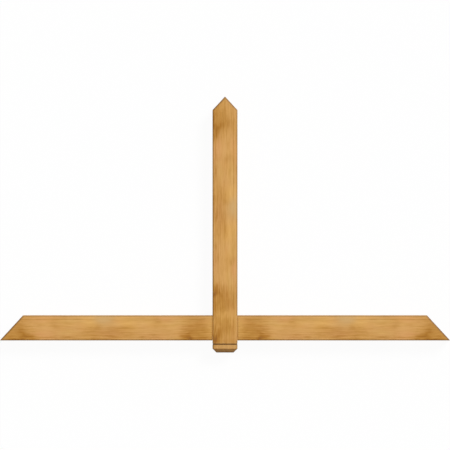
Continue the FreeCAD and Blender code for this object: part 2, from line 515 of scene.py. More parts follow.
@dataclass(frozen=True)
class Relief:
    """What planing and sanding leave of the grain, all of it cut inwards.

    Attributes:
        swell: depth of the long shallow waves that sanding leaves.
        furrow: depth of the early wood between the hard bands of the growth rings.
        wear: how deep handling has softened an arris at its most worn places.
        hollow: depth of the dish that sanding leaves round a knot.
        swell_lengths: shortest wavelengths of the long waves along, across and deep.
        wear_lengths: shortest wavelengths of the wear.
    """

    swell: float = 0.00015
    furrow: float = 0.00012
    wear: float = 0.0012
    hollow: float = 0.0003
    swell_lengths: Vector3 = (0.45, 0.07, 0.07)
    wear_lengths: Vector3 = (0.09, 0.3, 0.3)

    def depth(self, plank: np.ndarray, arris: np.ndarray, figure: Figure, seed: int) -> np.ndarray:
        """Works out how deep the skin is cut: the sum of the four reliefs at each place.

        The wear is the cube of a random swell, so that it gathers in a few worn places.

        Args:
            plank: plank places, one row each.
            arris: how much of an arris each place is.
            figure: the wood's rings.
            seed: fixes the random draws.

        Returns:
            The depth at each place.
        """
        long_waves = self.swell * swell(plank, self.swell_lengths, seed)
        furrows = self.furrow * figure.furrow(plank)
        worn = self.wear * arris * swell(plank, self.wear_lengths, seed + 1) ** 3
        dishes = np.zeros(len(plank))
        for knot in MARKS[MarkKind.KNOT]:
            reaches = (plank - knot.place()) / knot.reach
            dishes += self.hollow * np.exp(-(reaches**2).sum(axis=1))
        return long_waves + furrows + worn + dishes


@dataclass
class Timber(ABC):
    """A squared timber: two flat faces and a rim between them, with eased arrises.

    Its outline is a patch with four edges. Two parameters from 0 to 1 describe it, the first running
    along X and the second along Y, whichever of them the timber's length follows.

    Attributes:
        node: the CAD node that the timber stands for.
        figure: the wood's rings.
        seed: fixes the random draws of the relief.
        upright: true if the timber's length follows Y.
        mirrored: true if the timber lies on the left and is worked out on the right.
        arris: radius of the eased edges of both faces.
        arris_steps: facets in the quarter turn of an arris.
        step_along: widest mesh spacing along the grain.
        step_across: widest mesh spacing across the grain.
        crease: least angle between two quads that shows as a sharp edge, in degrees.
        relief: depths of the surface relief.
    """

    node: str
    figure: Figure
    seed: int
    upright: bool = False
    mirrored: bool = False
    arris: float = 0.0048
    arris_steps: int = 6
    step_along: float = 0.0055
    step_across: float = 0.0014
    crease: float = 30.0
    relief: Relief = Relief()

    def __post_init__(self) -> None:
        """Reads the timber's box from the frame, turned over to the right if it is mirrored."""
        low, high = (np.array(corner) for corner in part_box(self.node))
        if self.mirrored:
            low[0], high[0] = -high[0], -low[0]
        self.low, self.high = low, high
        self.depth = float(high[2] - low[2])

    @abstractmethod
    def face_lines(self) -> Pair:
        """The grid lines of the two parameters."""

    @abstractmethod
    def outline(self, first: np.ndarray, second: np.ndarray, inset: np.ndarray) -> Pair:
        """Maps the two parameters to X and Y on the outline drawn in by the inset."""

    @abstractmethod
    def joint_levels(self) -> Span:
        """Lowest and highest level of the hidden joint above the back."""

    @abstractmethod
    def add_joint(self, skin: Skin) -> None:
        """Opens the skin at the hidden joint and adds the joint's own surfaces."""

    @abstractmethod
    def plank_places(self, points: np.ndarray) -> np.ndarray:
        """Turns places into plank places: along, across and deep."""

    @abstractmethod
    def plank_mapping(self) -> tuple[Vector3, float, Vector3]:
        """The move, the turn about Z and the scale that turn object places into plank places."""

    @property
    def joint_along(self) -> float:
        """How far along the covered wood of the joint starts: by default past the timber's end."""
        return 2 * float(np.ptp([self.low[:2], self.high[:2]], axis=0).max())

    def shaped(self, points: np.ndarray) -> np.ndarray:
        """The last change of form before the relief, which a plain timber doesn't need."""
        return points

    def stain_shade_and_light_weight(self, points: np.ndarray, edges: np.ndarray) -> np.ndarray:
        """Where the colour darkens with gathered stain and painted shade: on a plain timber along the
        edges only.
        """
        return EDGE_STAIN_AND_SHADE * edges

    def wall_lane(self, edge: Edge) -> Lane:
        """The cell of the bake map that one of the rim's walls takes.

        Args:
            edge: the stretch of the outline that the wall stands on.

        Returns:
            A long lane where the wall follows the timber's length, and an end cell elsewhere.
        """
        lanes = [Lane.LONG_SIDE, Lane.OUTER_END, Lane.OTHER_LONG_SIDE, Lane.INNER_END]
        if self.upright:
            lanes = [Lane.INNER_END, Lane.LONG_SIDE, Lane.OUTER_END, Lane.OTHER_LONG_SIDE]
        return lanes[edge.value]

    def rim_profile(self) -> Pair:
        """The section of the rim: a quarter circle, an upright wall and another quarter circle.

        At a turn t, which falls from a right angle to nothing, a quarter circle of the arris radius r
        has the inset r (1 - cos t) from the outline and the height r (1 - sin t) above the back.

        Returns:
            The inset and the height of each loop of the rim, from the back to the show face.
        """
        turn = np.linspace(math.pi / 2, 0, self.arris_steps + 1)
        inset = self.arris * (1 - np.cos(turn))
        height = self.arris * (1 - np.sin(turn))
        stops = [self.arris, *self.joint_levels(), self.depth - self.arris]
        wall = spaced_lines(stops, self.step_across)[1:-1]
        insets = np.concatenate([inset, np.zeros(len(wall)), inset[::-1]])
        return insets, np.concatenate([height, wall, self.depth - height[::-1]])

    def arris_weight(self, insets: np.ndarray) -> np.ndarray:
        """How much of an arris each inset is: 1 halfway round it and 0 where it meets a flat."""
        return np.sin(2 * np.arccos(np.clip(1 - insets / self.arris, 0, 1)))

    def edge_nearness(self, insets: np.ndarray, heights: np.ndarray) -> np.ndarray:
        """How near the rim is to the sharp edge that the arris was rounded from.

        The distance from that edge is the length of the inset and the depth under the nearer face
        taken together. It counts as 1 up to the arris radius, and as 0 from half as much again.

        Args:
            insets: how far the rim is drawn in.
            heights: how high it is above the back.

        Returns:
            The nearness, from 0 to 1.
        """
        distance = np.hypot(insets, np.minimum(heights, self.depth - heights))
        return np.clip(3 - 2 * distance / self.arris, 0, 1)

    def build(self) -> bpy.types.Object:
        """Makes the timber's piece and gives it the place of its CAD node.

        Returns:
            The new object, with its relief, its bake map and its attribute of stain, painted shade and
            light.
        """
        skin = Skin(self)
        self.add_joint(skin)
        straight = skin.points()
        points = self.shaped(straight)
        faces = np.concatenate([patch.quads(patch.grid) for patch in skin.patches])
        places = np.concatenate([patch.unrolled(points) for patch in skin.patches])
        plank = self.plank_places(points)
        if self.mirrored:
            points = points * [-1.0, 1.0, 1.0]
            faces, places = faces[:, ::-1], places[:, ::-1]
        mesh = bpy.data.meshes.new(self.node + "_wood")
        mesh.from_pydata(points, [], faces)
        mesh.polygons.foreach_set("use_smooth", np.ones(len(faces), bool))
        weights = np.concatenate(skin.weights)
        self.carve(mesh, points, self.relief.depth(plank, weights, self.figure, self.seed))
        chart = mesh.uv_layers.new(name=BAKE_MAP)
        chart.data.foreach_set("uv", places.astype(np.float32).ravel())
        # Gathered stain and painted shade at the edges, groove and foot; below 0, painted light in the
        # seams.
        stain_shade_and_light = mesh.attributes.new(STAIN_SHADE_AND_LIGHT_ATTRIBUTE, "FLOAT", "POINT")
        stain_shade_and_light_values = self.stain_shade_and_light_weight(straight, np.concatenate(skin.stain_shade_and_light_blocks))
        stain_shade_and_light.data.foreach_set("value", stain_shade_and_light_values.astype(np.float32))
        mesh.update()
        piece = bpy.data.objects.new(self.node + "_wood", mesh)
        bpy.context.scene.collection.objects.link(piece)
        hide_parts(self.node)
        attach(piece, BODY)
        return piece

    def carve(self, mesh: bpy.types.Mesh, points: np.ndarray, depth: np.ndarray) -> None:
        """Cuts the relief: each vertex moves in against its normal by the depth at its place.

        Args:
            mesh: the timber's mesh.
            points: the places of its vertices before the cut.
            depth: how deep each is cut.
        """
        normals = np.empty(points.size, np.float32)
        mesh.vertex_normals.foreach_get("vector", normals)
        carved = points - normals.reshape(-1, 3) * depth[:, None]
        mesh.vertices.foreach_set("co", carved.astype(np.float32).ravel())
        mesh.set_sharp_from_angle(angle=math.radians(self.crease))


@dataclass
class KingPost(Timber):
    """The upright timber, with a roof-shaped peak, a V-groove round its foot and a chamfered end.

    Attributes:
        groove_rise: height of the groove's middle above the foot.
        groove_width: width of the groove at the face.
        groove_depth: depth of the groove.
        chamfer: leg of the chamfer round the foot.
        foot_lines: how many times closer the grid lines are at the foot and the groove.
        peak_reach: height below the shoulders at which the grid starts to turn towards the peak.
        mortise_run: lowest and highest Y of the mortise, which goes right through from side to side.
        mortise_levels: lowest and highest level of the mortise above the back.
        figure_start: how far below the peak the shared figure starts.
        foot_stain_and_shade: height above the foot up to which stain gathers and shade is painted.
        foot_rim: how far in from the rim of the foot's end that darkening thins out.
        foot_ease: how much thinner it is from there inwards.
        groove_spread: power of the groove's nearness, low so that gathered stain and painted shade fill
            the whole groove.
        crossing: lowest and highest Y of the beams, beside which the post's edges are covered.
        seam_starts: how far in from a seam its line of painted light ends, in arris radii.
        seam_turns: over how many arris radii the painted light gives way to the painted shade beside it.
        seam_painted_shades: how dark that painted shade is along the left and the right seam, darker on
            the left, away from the key light.
    """

    upright: bool = True
    groove_rise: float = 0.0340
    groove_width: float = 0.0052
    groove_depth: float = 0.0032
    chamfer: float = 0.0160
    foot_lines: int = 4
    peak_reach: float = 0.0700
    mortise_run: Span = (-0.4551, -0.3847)
    mortise_levels: Span = (0.0336, 0.0680)
    figure_start: float = 0.0300
    # How far gathered stain and painted shade darken the foot and fill the groove.
    foot_stain_and_shade: float = 0.0140
    foot_rim: float = 0.0120
    foot_ease: float = 0.75
    groove_spread: float = 0.15
    crossing: Span = (-0.4707, -0.3691)
    # Seams beside the beams: painted light along the post's edge, then painted shade.
    seam_starts: float = 0.3
    seam_turns: float = 0.5
    seam_painted_shades: Span = (0.65, 0.50)

    def face_lines(self) -> Pair:
        """Even lines across, and lines up the post that stop at the groove, chamfer and mortise.

        Returns:
            The lines of the first and of the second parameter, from 0 to 1.
        """
        across = spaced_lines([0.0, 0.5, 1.0], self.step_across / self.width())
        foot, height = self.low[1], self.height()
        groove = [self.groove_rise + side * self.groove_width / 2 for side in (-1, 0, 1)]
        mortise = [stop - foot for stop in self.mortise_run]
        fine = spaced_lines([0.0, self.chamfer, *groove], self.step_along / self.foot_lines)
        plain = spaced_lines([groove[-1], *mortise, height], self.step_along)
        return across, np.concatenate([fine, plain[1:]]) / height

    def width(self) -> float:
        """Width of the post."""
        return float(self.high[0] - self.low[0])

    def height(self) -> float:
        """Height of the post from foot to peak."""
        return float(self.high[1] - self.low[1])

    def outline(self, first: np.ndarray, second: np.ndarray, inset: np.ndarray) -> Pair:
        """Maps the parameters onto the house-shaped outline, drawn in at its sides and its peak.

        X runs evenly between the two sides. Below a bend line Y is the second parameter times the
        height, so that the lines are level. Above it Y runs evenly from the bend line up to the roof
        line, which is the peak less the roof pitch times the distance from the middle, less the inset
        measured square to the roof.

        Args:
            first: the parameter across.
            second: the parameter up the post.
            inset: how far the outline is drawn in.

        Returns:
            X and Y.
        """
        half = self.width() / 2
        x = (2 * first - 1) * (half - inset)
        roof = self.high[1] - np.abs(x) * ROOF_PITCH - inset * math.hypot(1, ROOF_PITCH)
        bend = self.high[1] - half * ROOF_PITCH - self.peak_reach
        level = self.low[1] + second * self.height()
        share = (level - bend) / (self.high[1] - bend)
        return np.broadcast_arrays(x, np.where(level < bend, level, bend + share * (roof - bend)))

    def shaped(self, points: np.ndarray) -> np.ndarray:
        """Pinches the section in the groove and at the foot, alike on all four sides.

        Half the section is drawn in by the groove depth times how near a height is to the middle of
        the groove, and by the chamfer less the height above the foot.

        Args:
            points: the places of the straight timber.

        Returns:
            The places of the finished form.
        """
        rise = points[:, 1] - self.low[1]
        drawn_in = self.groove_depth * self.groove_share(points) + np.clip(self.chamfer - rise, 0, None)
        share = 1 - drawn_in / (self.width() / 2)
        middle = np.array([0.0, 0.0, self.depth / 2])
        scale = np.column_stack([share, np.ones_like(share), share])
        return middle + (points - middle) * scale

    def groove_share(self, points: np.ndarray) -> np.ndarray:
        """How near each height is to the groove's middle: 1 there and 0 from its edges outwards."""
        rise = points[:, 1] - self.low[1]
        return np.clip(1 - np.abs(rise - self.groove_rise) / (self.groove_width / 2), 0, 1)

    def stain_shade_and_light_weight(self, points: np.ndarray, edges: np.ndarray) -> np.ndarray:
        """Where the colour darkens with gathered stain and painted shade: along the free edges, in the
        groove and on the end of the foot.

        At the foot the darkening falls evenly to nothing at its height, and it thins out from the rim of
        the end inwards. Between the beams an edge is a seam: a line of painted light, then painted shade
        beside it, darker on the left, away from the key light.

        Args:
            points: the places of the straight timber.
            edges: how near an edge each is.

        Returns:
            The share from 0 to 1, and below 0 in the painted light of a seam.
        """
        from_side = self.width() / 2 - np.abs(points[:, 0])
        from_face = self.depth / 2 - np.abs(points[:, 2] - self.depth / 2)
        inside = np.clip(np.minimum(from_side, from_face) / self.foot_rim, 0, 1)
        foot = np.clip(1 - (points[:, 1] - self.low[1]) / self.foot_stain_and_shade, 0, 1)
        groove = self.groove_share(points) ** self.groove_spread
        free = np.maximum.reduce([EDGE_STAIN_AND_SHADE * edges, groove, foot * (1 - self.foot_ease * inside)])
        low, high = self.crossing
        beside_beam = (points[:, 1] > low) & (points[:, 1] < high)
        # The seam: painted light near the post's edge, then painted shade, deeper on the left side, away
        # from the key light.
        turned = np.clip((from_side / self.arris - self.seam_starts) / self.seam_turns, 0, 1)
        seam = edges * (turned * (1 + np.where(points[:, 0] < 0, *self.seam_painted_shades)) - 1)
        return np.where(beside_beam, seam, free)

    def joint_levels(self) -> Span:
        """Lowest and highest level of the mortise above the back."""
        return self.mortise_levels

    def add_joint(self, skin: Skin) -> None:
        """Opens both side walls at the mortise and joins the openings straight through the post.

        Args:
            skin: the post's skin.
        """
        right = skin.open_wall(Edge.RIGHT, self.mortise_run, self.mortise_levels)
        left = skin.open_wall(Edge.LEFT, self.mortise_run, self.mortise_levels)
        skin.add_tube(right, left[::-1], steps=12)

    def plank_places(self, points: np.ndarray) -> np.ndarray:
        """Plank places: along from the peak, across from the left side, deep from the show face.

        Args:
            points: places in the frame, one row each.

        Returns:
            The plank places, one row each.
        """
        along = self.high[1] - self.figure_start - points[:, 1]
        across = points[:, 0] - self.low[0]
        return np.column_stack([along, across, self.depth - points[:, 2]])

    def plank_mapping(self) -> tuple[Vector3, float, Vector3]:
        """A quarter turn, which lays the post's length along the plank, with the depth turned over."""
        start = self.high[1] - self.figure_start
        return (start, -self.low[0], self.depth), math.pi / 2, (1.0, 1.0, -1.0)


@dataclass
class HalfBeam(Timber):
    """One of the two level timbers, from its square butt at the post to its roof cut.

    Attributes:
        butt: X of the butt, where the post's side is.
        tenon_run: lowest and highest Y of the stub tenon.
        tenon_levels: lowest and highest level of the tenon above the back.
    """

    butt: float = 0.0508
    tenon_run: Span = (-0.4549, -0.3849)
    tenon_levels: Span = (0.0338, 0.0678)

    def face_lines(self) -> Pair:
        """Even lines along the beam, and lines across it that stop at the tenon.

        Returns:
            The lines of the first and of the second parameter, from 0 to 1.
        """
        along = spaced_lines([0.0, 1.0], self.step_along / (self.high[0] - self.butt))
        face = self.high[1] - self.low[1]
        stops = [0.0, *((stop - self.low[1]) / face for stop in self.tenon_run), 1.0]
        return along, spaced_lines(stops, self.step_across / face)

    def outline(self, first: np.ndarray, second: np.ndarray, inset: np.ndarray) -> Pair:
        """Maps the parameters onto the outline, drawn in at its long edges and its roof cut.

        Y runs evenly between the long edges. X runs evenly from the butt to the roof cut, which
        starts at the tip, loses the height over the underside divided by the roof pitch, and is drawn
        in by the inset measured square to the cut.

        Args:
            first: the parameter along the beam.
            second: the parameter across it.
            inset: how far the outline is drawn in.

        Returns:
            X and Y.
        """
        face = self.high[1] - self.low[1]
        rise = inset + second * (face - 2 * inset)
        cut = self.high[0] - rise / ROOF_PITCH - inset * math.hypot(1, 1 / ROOF_PITCH)
        return np.broadcast_arrays(self.butt + first * (cut - self.butt), self.low[1] + rise)

    @property
    def joint_along(self) -> float:
        """How far along the butt is, past which the post covers the wood."""
        return float(self.high[0]) - self.butt

    def joint_levels(self) -> Span:
        """Lowest and highest level of the tenon above the back."""
        return self.tenon_levels

    def add_joint(self, skin: Skin) -> None:
        """Opens the butt at the tenon and carries the opening out to the tenon's end.

        Args:
            skin: the beam's skin.
        """
        root = skin.open_wall(Edge.LEFT, self.tenon_run, self.tenon_levels)
        end_points = skin.points()[root]
        end_points[..., 0] = self.low[0]
        end = skin.add_points(end_points)
        skin.add_tube(root, end, steps=10)
        skin.patches.append(Patch(end, Lane.JOINT_END))

    def plank_places(self, points: np.ndarray) -> np.ndarray:
        """Plank places: along from the tip, across from the underside, deep from the show face.

        Args:
            points: places in the frame, one row each, turned over to the right.

        Returns:
            The plank places, one row each.
        """
        along = self.high[0] - points[:, 0]
        across = points[:, 1] - self.low[1]
        return np.column_stack([along, across, self.depth - points[:, 2]])

    def plank_mapping(self) -> tuple[Vector3, float, Vector3]:
        """No turn: the length runs from the tip towards the post and the depth is turned over."""
        way = 1.0 if self.mirrored else -1.0
        return (self.high[0], -self.low[1], self.depth), 0.0, (way, 1.0, -1.0)


# ---------------------------------------------------------------------------------------------------
# Finishes
# ---------------------------------------------------------------------------------------------------


class Recipe:
    """Adds the shader nodes of one material and links them."""

    def __init__(self, name: str) -> None:
        """Starts an empty material.

        Args:
            name: the material's name.
        """
        self.material = bpy.data.materials.new(name)
        self.material.use_nodes = True
        self.tree = self.material.node_tree
        self.tree.nodes.clear()

    def add(self, kind: str, sockets: dict | None = None, **settings: object) -> bpy.types.Node:
        """Adds a node.

        Args:
            kind: the node's type without its ShaderNode prefix.
            sockets: a link or a plain value for each input that isn't left at its default.
            settings: the node's own properties.

        Returns:
            The node.
        """
        node = self.tree.nodes.new("ShaderNode" + kind)
        for name, value in settings.items():
            setattr(node, name, value)
        for name, value in (sockets or {}).items():
            if isinstance(value, Socket):
                self.tree.links.new(value, node.inputs[name])
            else:
                node.inputs[name].default_value = value
        return node

    def math(self, operation: str, *values: object, clamp: bool = False) -> Socket:
        """Adds a Math node on up to three links or numbers and returns its result."""
        sockets = dict(enumerate(values))
        return self.add("Math", sockets, operation=operation, use_clamp=clamp).outputs[0]

    def vector(self, operation: str, *values: object, output: str = "Vector") -> Socket:
        """Adds a Vector Math node on links or triples and returns one of its results."""
        sockets = dict(enumerate(values))
        return self.add("VectorMath", sockets, operation=operation).outputs[output]

    def noise(
        self, place: object, stretch: Vector3, detail: float = 2.0, roughness: float = 0.5
    ) -> bpy.types.Node:
        """Adds a noise that is stretched along the grain.

        Args:
            place: the plank place to read it at.
            stretch: how many cells it has in a metre along, across and deep.
            detail: how many finer layers it has.
            roughness: how strong the finer layers are.

        Returns:
            The noise node, with a value output and a colour output.
        """
        cells = self.vector("MULTIPLY", place, stretch)
        sockets = {"Vector": cells, "Scale": 1.0, "Detail": detail, "Roughness": roughness}
        return self.add("TexNoise", sockets)

    def ramp(self, value: object, *stops: tuple[float, Colour]) -> Socket:
        """Adds a colour ramp.

        Args:
            value: where on the ramp to read it, from 0 to 1.
            stops: a position and a colour each, in rising order.

        Returns:
            The colour.
        """
        node = self.add("ValToRGB", {"Fac": value})
        elements = node.color_ramp.elements
        while len(elements) < len(stops):
            elements.new(1.0)
        for element, (position, colour) in zip(elements, stops):
            element.position = position
            element.color = colour
        return node.outputs["Color"]

    def band(self, value: object, low: float, high: float) -> Socket:
        """A smooth step from 0 below the low value to 1 above the high one."""
        sockets = {"Value": value, "From Min": low, "From Max": high}
        return self.add("MapRange", sockets, interpolation_type="SMOOTHSTEP").outputs["Result"]

    def mix(self, share: object, first: object, second: object, blend: str = "MIX") -> Socket:
        """Mixes two colours and returns the result."""
        sockets = {0: share, 6: first, 7: second}
        return self.add("Mix", sockets, data_type="RGBA", blend_type=blend).outputs[2]

    def total(self, *terms: tuple[object, float]) -> Socket:
        """Adds up terms.

        Args:
            terms: a link and the weight that it is multiplied by, for each term.

        Returns:
            Their sum.
        """
        value: object = 0.0
        for term, weight in terms:
            value = self.math("MULTIPLY_ADD", term, weight, value)
        return value


def grey(level: float) -> Colour:
    """A neutral colour, of which only the level matters."""
    return (level, level, level, 1.0)


@dataclass(frozen=True)
class Grain:
    """How fine each pattern in the wood is: its cells in a metre along, across and deep.

    Attributes:
        streak: broad streaks along the grain.
        fibre: fine fibres.
        cloud: soft shades.
        pore: short dark pores.
        hue: patches of another tint.
        drift: the unrest that makes the marks ragged.
        wear: worn places along the edges.
        wander: the wander of the growth rings.
    """

    streak: Vector3 = (6.0, 110.0, 110.0)
    fibre: Vector3 = (20.0, 230.0, 230.0)
    cloud: Vector3 = (17.0, 24.0, 24.0)
    pore: Vector3 = (55.0, 1500.0, 1500.0)
    hue: Vector3 = (7.0, 30.0, 30.0)
    drift: Vector3 = (14.0, 60.0, 60.0)
    wear: Vector3 = (60.0, 90.0, 90.0)
    wander: Vector3 = (5.0, 26.0, 26.0)


@dataclass(frozen=True)
class Tint:
    """Soft patches in which plain wood takes another tint.

    Attributes:
        colour: what the wood's colour is multiplied by.
        start: value of the hue noise at which a patch starts.
        share: how strong a patch is at most.
    """

    colour: Colour
    start: float
    share: float


@dataclass(frozen=True)
class HoneyStain:
    """Clear honey stain under a satin coat, on close-grained softwood.

    The stain is worked out at plank places, so the faces, sides, back and cut ends of a timber show
    one and the same wood. A tone from 0 to 1 is added up first and then turned into a colour.

    Attributes:
        knot: colour of the darkest places.
        dark: colour of shaded wood.
        honey: colour of plain wood.
        pale: colour of light wood.
        bleached: colour of the palest places.
        raw: colour of the unstained wood inside the joint.
        greyed: colour of the grey marks.
        stain_and_shade_colour: what the colour is multiplied by along the edges, in the groove and at the
            foot: gathered stain and painted shade.
        seam_painted_light: what it is multiplied by in the pale line of a seam: painted light that
            brightens the shaded crevice beside a beam.
        rosy: pinker patches.
        golden: yellower patches.
        olive: greener patches.
        tint_full: value of the hue noise at which a patch has its full strength.
        ring_contrast: how much darker the late wood is.
        streak_contrast: strength of the streaks that run along the grain.
        fibre_contrast: strength of the fine fibres.
        cloud_contrast: strength of the broad soft shades.
        pore_contrast: how much darker a pore is.
        scuff: how much paler the worn places of the darkened edges are.
        shade_calm: how much calmer streaks and fibres are in shaded wood.
        end_calm: how much calmer they are on cut ends.
        end_rings: how much darker the late wood is on cut ends, on top of the ring contrast.
        end_grain: how much darker the stain is where it soaks into cut ends.
        painted_light_lean: painted light, how much lighter the colour gets across a timber, in each
            metre.
        painted_light_lean_start: how far across that gradient counts from.
        mean_late: how much of a ring is late wood.
        late_profile: fraction of a year's growth, and how late its wood is there.
        year_change: how fast the strength of the rings changes, in cells of noise for each ring.
        year_range: values of that noise at which a ring is missing and at which it is strongest.
        pore_range: values of the pore noise at which a pore starts and is full.
        wear_range: values of the wear noise at which a worn place starts and is full.
        ragged: how far a plain mark's outline strays along, across and deep.
        steady: how far a boxy mark's outline strays.
        ring_wander: how many rings the noise pushes aside.
        cover_range: how far short of the joint the stain starts to thin and ends.
        cut_range: how squarely a face meets the grain where cut-end looks start and are full.
        soak_range: depth under the show face at which covered wood starts to be raw and is raw.
        roughness: roughness of the wood before the patterns are added.
        roughness_terms: how much rougher each pattern makes it.
        relief_terms: how high each pattern stands in the bump.
        relief_height: height of the bump.
        relief_strength: strength of the bump.
        specular: strength of the sheen.
        coat: weight of the satin coat.
        coat_roughness: roughness of the satin coat.
        grain: how fine the patterns are.
    """

    knot: Colour = (0.170, 0.045, 0.005, 1.0)
    dark: Colour = (0.397, 0.163, 0.012, 1.0)
    honey: Colour = (0.608, 0.315, 0.085, 1.0)
    pale: Colour = (0.712, 0.400, 0.130, 1.0)
    bleached: Colour = (0.800, 0.515, 0.225, 1.0)
    raw: Colour = (0.700, 0.500, 0.290, 1.0)
    greyed: Colour = (0.625, 0.395, 0.158, 1.0)
    # Darkens edges, groove and foot: gathered stain and painted shade.
    stain_and_shade_colour: Colour = (0.350, 0.330, 0.290, 1.0)
    # Painted light in the seams beside the beams.
    seam_painted_light: Colour = (1.700, 1.860, 2.150, 1.0)
    rosy: Tint = Tint((1.03, 0.955, 1.08, 1.0), start=0.45, share=0.45)
    golden: Tint = Tint((1.02, 1.02, 0.84, 1.0), start=0.45, share=0.50)
    olive: Tint = Tint((0.93, 0.97, 0.90, 1.0), start=0.50, share=0.50)
    tint_full: float = 0.75
    ring_contrast: float = 0.110
    streak_contrast: float = 0.355
    fibre_contrast: float = 0.42
    cloud_contrast: float = 0.20
    pore_contrast: float = 0.10
    scuff: float = 0.10
    shade_calm: float = 0.50
    end_calm: float = 0.20
    end_rings: float = 0.20
    end_grain: float = 0.25
    # Painted light: lighter across towards a beam's top and the post's right side, where the key light
    # comes from.
    painted_light_lean: float = 0.60
    painted_light_lean_start: float = 0.04
    mean_late: float = 0.3
    late_profile: tuple[Span, ...] = ((0.00, 0.0), (0.22, 0.10), (0.52, 1.0), (0.66, 0.25), (1.00, 0.0))
    year_change: float = 0.45
    year_range: Span = (0.25, 0.75)
    pore_range: Span = (0.66, 0.76)
    wear_range: Span = (0.56, 0.70)
    ragged: Vector3 = (0.060, 0.016, 0.016)
    steady: Vector3 = (0.020, 0.005, 0.005)
    ring_wander: float = 1.1
    cover_range: Span = (0.0012, 0.0006)
    cut_range: Span = (0.12, 0.50)
    soak_range: Span = (0.0004, 0.0020)
    roughness: float = 0.42
    roughness_terms: Terms = (("fibre", 0.16), ("late", -0.07), ("pore", 0.15), ("end", 0.16))
    relief_terms: Terms = (("fibre", 0.50), ("late", 0.30), ("pore", -0.60), ("streak", 0.30))
    relief_height: float = 0.0004
    relief_strength: float = 0.35
    specular: float = 0.28
    coat: float = 0.05
    coat_roughness: float = 0.38
    grain: Grain = Grain()

    def dress(self, piece: bpy.types.Object, timber: Timber) -> None:
        """Makes the material for one timber and puts it on its piece.

        Args:
            piece: the timber's object.
            timber: the timber, which knows how the grain lies.
        """
        recipe = Recipe(timber.node + "_honey_stain")
        coordinates = recipe.add("TexCoord")
        location, turn, scale = timber.plank_mapping()
        mapping = {"Vector": coordinates.outputs["Object"], "Location": location, "Scale": scale}
        plank = recipe.add("Mapping", mapping | {"Rotation": (0.0, 0.0, turn)}).outputs["Vector"]
        patterns = self.patterns(recipe, plank, timber.figure)
        patterns |= self.exposure(recipe, plank, coordinates.outputs["Normal"], timber)
        tone = self.tone(recipe, plank, patterns)
        colour = self.colour(recipe, tone, patterns)
        self.surface(recipe, colour, patterns)
        piece.data.materials.append(recipe.material)

    def patterns(self, recipe: Recipe, plank: Socket, figure: Figure) -> Patterns:
        """Works out the patterns that colour, roughness and bump all read.

        Args:
            recipe: the material.
            plank: the plank place.
            figure: the wood's rings.

        Returns:
            The late wood, streaks, fibres, clouds, pores, hues and the sum of each kind of mark.
        """
        drift = recipe.noise(plank, self.grain.drift).outputs["Color"]
        drift = recipe.vector("SUBTRACT", drift, (0.5, 0.5, 0.5))
        ragged = recipe.vector("MULTIPLY_ADD", drift, self.ragged, plank)
        steady = recipe.vector("MULTIPLY_ADD", drift, self.steady, plank)
        found: Patterns = {}
        for kind, marks in MARKS.items():
            terms = []
            for mark in marks:
                place = steady if mark.boxy else ragged
                terms.append((self.spot(recipe, place, mark), mark.strength))
            found[kind.name.lower()] = recipe.total(*terms)
        count = self.ring_count(recipe, plank, figure)
        stops = ((position, grey(level)) for position, level in self.late_profile)
        late = recipe.ramp(recipe.math("FRACT", count), *stops)
        sockets = {"W": count, "Scale": self.year_change, "Detail": 1.0}
        yearly = recipe.add("TexNoise", sockets, noise_dimensions="1D").outputs[0]
        found["late"] = recipe.math("MULTIPLY", late, recipe.band(yearly, *self.year_range))
        found["streak"] = recipe.noise(plank, self.grain.streak, detail=2.5).outputs[0]
        found["fibre"] = recipe.noise(plank, self.grain.fibre, detail=4.0, roughness=0.55).outputs[0]
        found["cloud"] = recipe.noise(plank, self.grain.cloud).outputs[0]
        pores = recipe.noise(plank, self.grain.pore, detail=1.0).outputs[0]
        found["pore"] = recipe.band(pores, *self.pore_range)
        found["hue"] = recipe.noise(plank, self.grain.hue).outputs["Color"]
        return found

    def exposure(self, recipe: Recipe, plank: Socket, normal: Socket, timber: Timber) -> Patterns:
        """Works out where the wood is cut across or covered by the joint, and where gathered stain and
        painted shade darken it and painted light brightens it.

        Args:
            recipe: the material.
            plank: the plank place.
            normal: the way the surface faces.
            timber: the timber, which knows where its joint starts.

        Returns:
            The distance across, the cut ends, the raw wood, and the gathered stain with painted shade and
            light.
        """
        axis = (0.0, 1.0, 0.0) if timber.upright else (1.0, 0.0, 0.0)
        facing = recipe.vector("DOT_PRODUCT", normal, axis, output="Value")
        place = recipe.add("SeparateXYZ", {"Vector": plank})
        start, end = (timber.joint_along - short for short in self.cover_range)
        covered = recipe.band(place.outputs["X"], start, end)
        cut = recipe.band(recipe.math("ABSOLUTE", facing), *self.cut_range)
        unstained = recipe.band(place.outputs["Z"], *self.soak_range)
        return {
            "across": place.outputs["Y"],
            "end": recipe.math("MULTIPLY", cut, recipe.math("SUBTRACT", 1.0, covered)),
            "raw": recipe.math("MULTIPLY", covered, unstained),
            "stain_shade_and_light": recipe.add("Attribute", attribute_name=STAIN_SHADE_AND_LIGHT_ATTRIBUTE).outputs["Fac"],
        }

    def spot(self, recipe: Recipe, place: Socket, mark: Mark) -> Socket:
        """The strength of one mark at a place: exp(-q q), with q the distance counted in reaches.

        A boxy mark takes the fourth powers of the three distances where a plain one takes the squares.

        Args:
            recipe: the material.
            place: the plank place, made ragged so that no mark is a plain oval.
            mark: the mark.

        Returns:
            A value from 0 to 1.
        """
        reaches = recipe.vector("DIVIDE", recipe.vector("SUBTRACT", place, mark.place()), mark.reach)
        if mark.boxy:
            reaches = recipe.vector("MULTIPLY", reaches, reaches)
        square = recipe.vector("DOT_PRODUCT", reaches, reaches, output="Value")
        return recipe.math("POWER", math.exp(-1), square)

